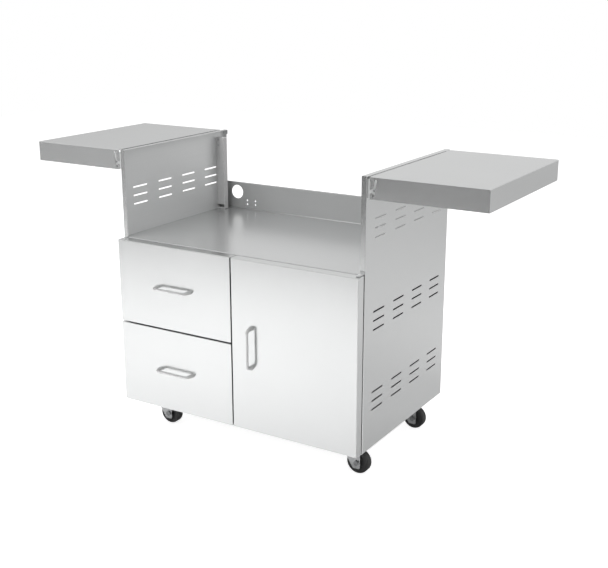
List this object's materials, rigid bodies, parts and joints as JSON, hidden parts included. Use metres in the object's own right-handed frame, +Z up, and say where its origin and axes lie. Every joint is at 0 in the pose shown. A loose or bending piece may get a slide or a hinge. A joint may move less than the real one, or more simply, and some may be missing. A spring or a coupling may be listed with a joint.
{
  "type": "grill cart",
  "caption": "Stainless sheet-metal cart for a drop-in grill head, with drawers beside a hinged door, fold-down side shelves and swivel casters",
  "frame": {"origin": "on the floor, under the middle of the cart's box with both shelves up", "axes": "+X to the cart's right, +Y to its back, +Z up; the drawers and the door face -Y"},
  "size_m": [1.564, 0.6085, 0.914],
  "materials": {
    "satin_stainless": "satin stainless sheet",
    "handle_steel": "satin stainless bar",
    "plated_steel": "bright zinc plating",
    "tyre_rubber": "moulded rubber",
    "hub_plastic": "moulded",
    "catch_plastic": "moulded"
  },
  "bodies": {
    "cabinet": {"left_side_panel": "satin_stainless", "right_side_panel": "satin_stainless", "base_pan": "satin_stainless", "back_panel": "satin_stainless", "grill_deck": "satin_stainless", "centre_divider": "satin_stainless", "left_rear_channel": "satin_stainless", "right_rear_channel": "satin_stainless", "front_slide_post": "plated_steel", "rear_slide_post": "plated_steel", "upper_outer_rails": "plated_steel", "lower_outer_rails": "plated_steel", "door_top_bracket": "plated_steel", "door_bottom_bracket": "plated_steel", "door_magnet_catch": "catch_plastic", "left_shelf_brackets": "plated_steel", "right_shelf_brackets": "plated_steel", "left_shelf_studs": "plated_steel", "right_shelf_studs": "plated_steel", "shelf_bracket_bolts": "plated_steel", "caster_screws": "plated_steel", "front_left_caster_plate": "plated_steel", "front_right_caster_plate": "plated_steel", "rear_left_caster_plate": "plated_steel", "rear_right_caster_plate": "plated_steel"},
    "upper_drawer": {"upper_drawer_front": "satin_stainless", "upper_drawer_liner": "satin_stainless", "upper_drawer_box": "satin_stainless", "upper_drawer_handle": "handle_steel", "upper_inner_rails": "plated_steel"},
    "upper_slide_middles": {"upper_middle_rails": "plated_steel"},
    "lower_drawer": {"lower_drawer_front": "satin_stainless", "lower_drawer_liner": "satin_stainless", "lower_drawer_box": "satin_stainless", "lower_drawer_handle": "handle_steel", "lower_inner_rails": "plated_steel"},
    "lower_slide_middles": {"lower_middle_rails": "plated_steel"},
    "door": {"door_skin": "satin_stainless", "door_liner": "satin_stainless", "door_handle": "handle_steel", "door_hinge_pins": "plated_steel", "door_strike": "plated_steel"},
    "left_fold_shelf": {"left_shelf": "satin_stainless"},
    "right_fold_shelf": {"right_shelf": "satin_stainless"},
    "front_left_swivel": {"front_left_caster_fork": "plated_steel", "front_left_caster_axle": "plated_steel"},
    "front_left_wheel": {"front_left_wheel_hub": "hub_plastic", "front_left_tyre": "tyre_rubber"},
    "front_right_swivel": {"front_right_caster_fork": "plated_steel", "front_right_caster_axle": "plated_steel"},
    "front_right_wheel": {"front_right_wheel_hub": "hub_plastic", "front_right_tyre": "tyre_rubber"},
    "rear_left_swivel": {"rear_left_caster_fork": "plated_steel", "rear_left_caster_axle": "plated_steel"},
    "rear_left_wheel": {"rear_left_wheel_hub": "hub_plastic", "rear_left_tyre": "tyre_rubber"},
    "rear_right_swivel": {"rear_right_caster_fork": "plated_steel", "rear_right_caster_axle": "plated_steel"},
    "rear_right_wheel": {"rear_right_wheel_hub": "hub_plastic", "rear_right_tyre": "tyre_rubber"}
  },
  "joints": [
    {"name": "upper_drawer_slide", "type": "slide", "parent": "cabinet", "child": "upper_drawer", "axis": [0, -1, 0], "range_m": [0, 0.4]},
    {"name": "upper_middle_slide", "type": "slide", "parent": "cabinet", "child": "upper_slide_middles", "axis": [0, -1, 0], "range_m": [0, 0.2]},
    {"name": "lower_drawer_slide", "type": "slide", "parent": "cabinet", "child": "lower_drawer", "axis": [0, -1, 0], "range_m": [0, 0.4]},
    {"name": "lower_middle_slide", "type": "slide", "parent": "cabinet", "child": "lower_slide_middles", "axis": [0, -1, 0], "range_m": [0, 0.2]},
    {"name": "door_hinge", "type": "hinge", "parent": "cabinet", "child": "door", "pos_m": [0.4217, -0.26225, 0.3695], "axis": [0, 0, 1], "range_deg": [0, 110]},
    {"name": "left_shelf_fold", "type": "hinge", "parent": "cabinet", "child": "left_fold_shelf", "pos_m": [-0.4495, 0.02545, 0.862], "axis": [0, -1, 0], "range_deg": [0, 90]},
    {"name": "right_shelf_fold", "type": "hinge", "parent": "cabinet", "child": "right_fold_shelf", "pos_m": [0.4495, 0.02545, 0.862], "axis": [0, 1, 0], "range_deg": [0, 90]},
    {"name": "front_left_swivel_turn", "type": "hinge", "parent": "cabinet", "child": "front_left_swivel", "pos_m": [-0.355, -0.16675, 0.09], "axis": [0, 0, 1], "continuous": true},
    {"name": "front_left_wheel_roll", "type": "hinge", "parent": "front_left_swivel", "child": "front_left_wheel", "pos_m": [-0.328, -0.16675, 0.0365], "axis": [0, 1, 0], "continuous": true},
    {"name": "front_right_swivel_turn", "type": "hinge", "parent": "cabinet", "child": "front_right_swivel", "pos_m": [0.355, -0.16675, 0.09], "axis": [0, 0, 1], "continuous": true},
    {"name": "front_right_wheel_roll", "type": "hinge", "parent": "front_right_swivel", "child": "front_right_wheel", "pos_m": [0.382, -0.16675, 0.0365], "axis": [0, 1, 0], "continuous": true},
    {"name": "rear_left_swivel_turn", "type": "hinge", "parent": "cabinet", "child": "rear_left_swivel", "pos_m": [-0.355, 0.21625, 0.09], "axis": [0, 0, 1], "continuous": true},
    {"name": "rear_left_wheel_roll", "type": "hinge", "parent": "rear_left_swivel", "child": "rear_left_wheel", "pos_m": [-0.328, 0.21625, 0.0365], "axis": [0, 1, 0], "continuous": true},
    {"name": "rear_right_swivel_turn", "type": "hinge", "parent": "cabinet", "child": "rear_right_swivel", "pos_m": [0.355, 0.21625, 0.09], "axis": [0, 0, 1], "continuous": true},
    {"name": "rear_right_wheel_roll", "type": "hinge", "parent": "rear_right_swivel", "child": "rear_right_wheel", "pos_m": [0.382, 0.21625, 0.0365], "axis": [0, 1, 0], "continuous": true}
  ],
  "couplings": [
    {"joint": "upper_middle_slide", "follows": "upper_drawer_slide", "ratio": 0.5},
    {"joint": "lower_middle_slide", "follows": "lower_drawer_slide", "ratio": 0.5}
  ]
}
